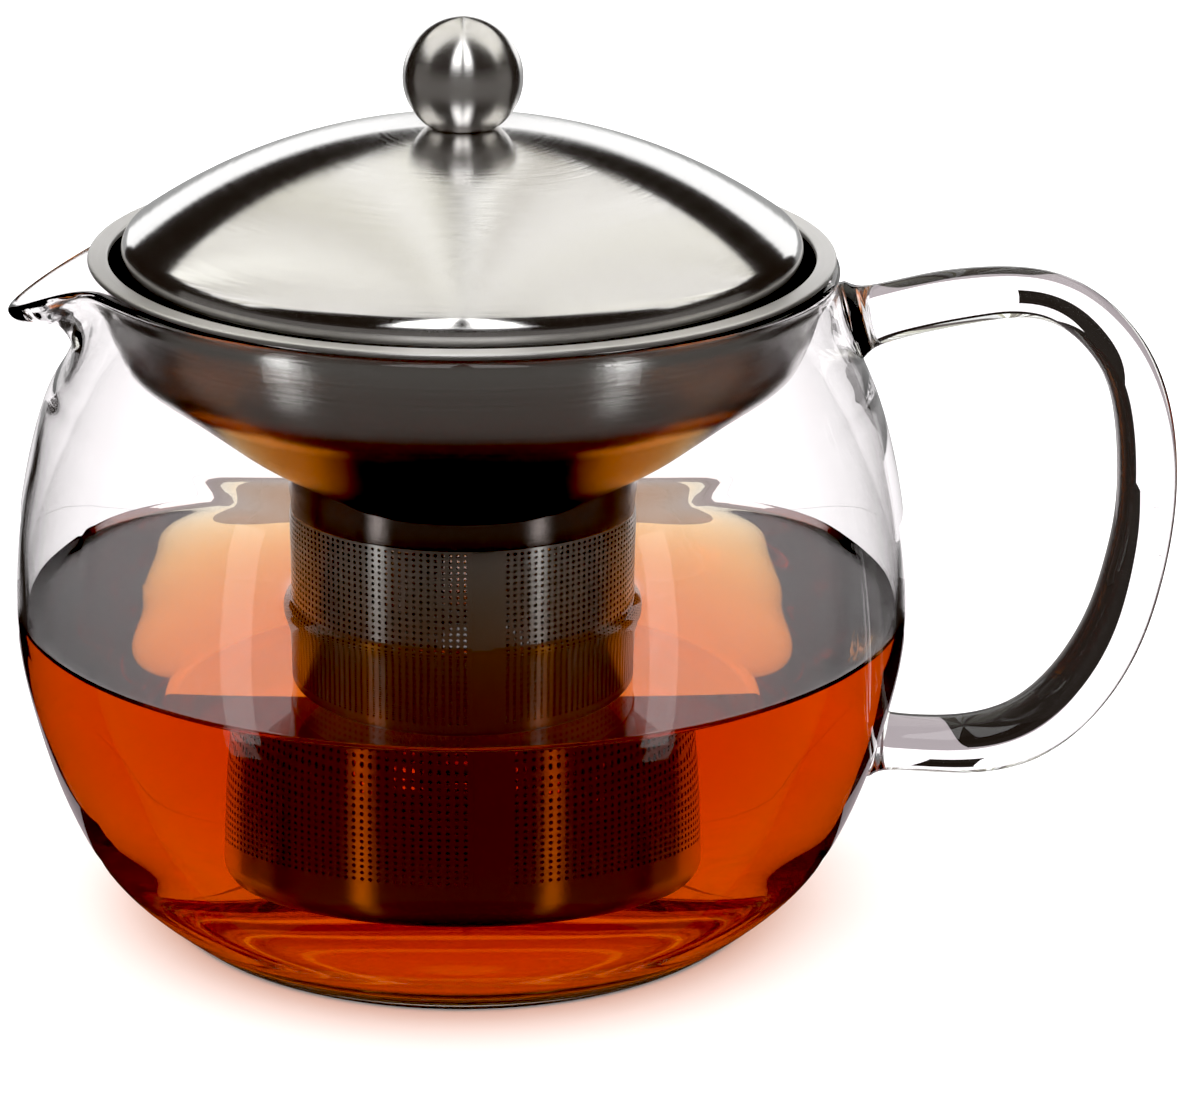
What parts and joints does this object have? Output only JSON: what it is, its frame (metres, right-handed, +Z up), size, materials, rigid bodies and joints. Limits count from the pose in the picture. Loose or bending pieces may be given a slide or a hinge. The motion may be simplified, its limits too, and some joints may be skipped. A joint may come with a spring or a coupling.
{
  "type": "teapot infuser",
  "caption": "Clear glass teapot with a pulled pouring lip and glass handle, a drop-in perforated steel infuser basket and a domed steel lid with a ball knob.",
  "frame": {"origin": "centre of the pot's flat foot, on the pot's own axis, where it meets the table", "axes": "+Z up along the pot's axis, the pouring lip towards -X, the handle towards +X"},
  "size_m": [0.1821, 0.14, 0.1421],
  "materials": {
    "pot_glass": "clear blown borosilicate glass",
    "brushed_steel": "brushed round the axis",
    "perforated_steel": "perforated sheet, satin",
    "lid_steel": "spun and finely brushed in circles",
    "polished_steel": "polished",
    "tea": "clear amber-red tea"
  },
  "bodies": {
    "pot": {"pot_body": "pot_glass", "pot_handle": "pot_glass"},
    "infuser": {"infuser_flange": "brushed_steel", "infuser_bowl": "brushed_steel", "infuser_collar": "brushed_steel", "infuser_tube": "perforated_steel", "tube_seam": "brushed_steel", "infuser_bottom_cap": "brushed_steel"},
    "lid": {"lid_dome": "lid_steel", "lid_skirt": "brushed_steel", "knob_ball": "polished_steel", "knob_washer": "brushed_steel", "knob_screw": "brushed_steel"}
  },
  "joints": [
    {"name": "infuser_lift", "type": "slide", "parent": "pot", "child": "infuser", "axis": [0, 0, 1], "range_m": [0, 0.115]},
    {"name": "lid_lift", "type": "slide", "parent": "infuser", "child": "lid", "axis": [0, 0, 1], "range_m": [0, 0.06]}
  ]
}
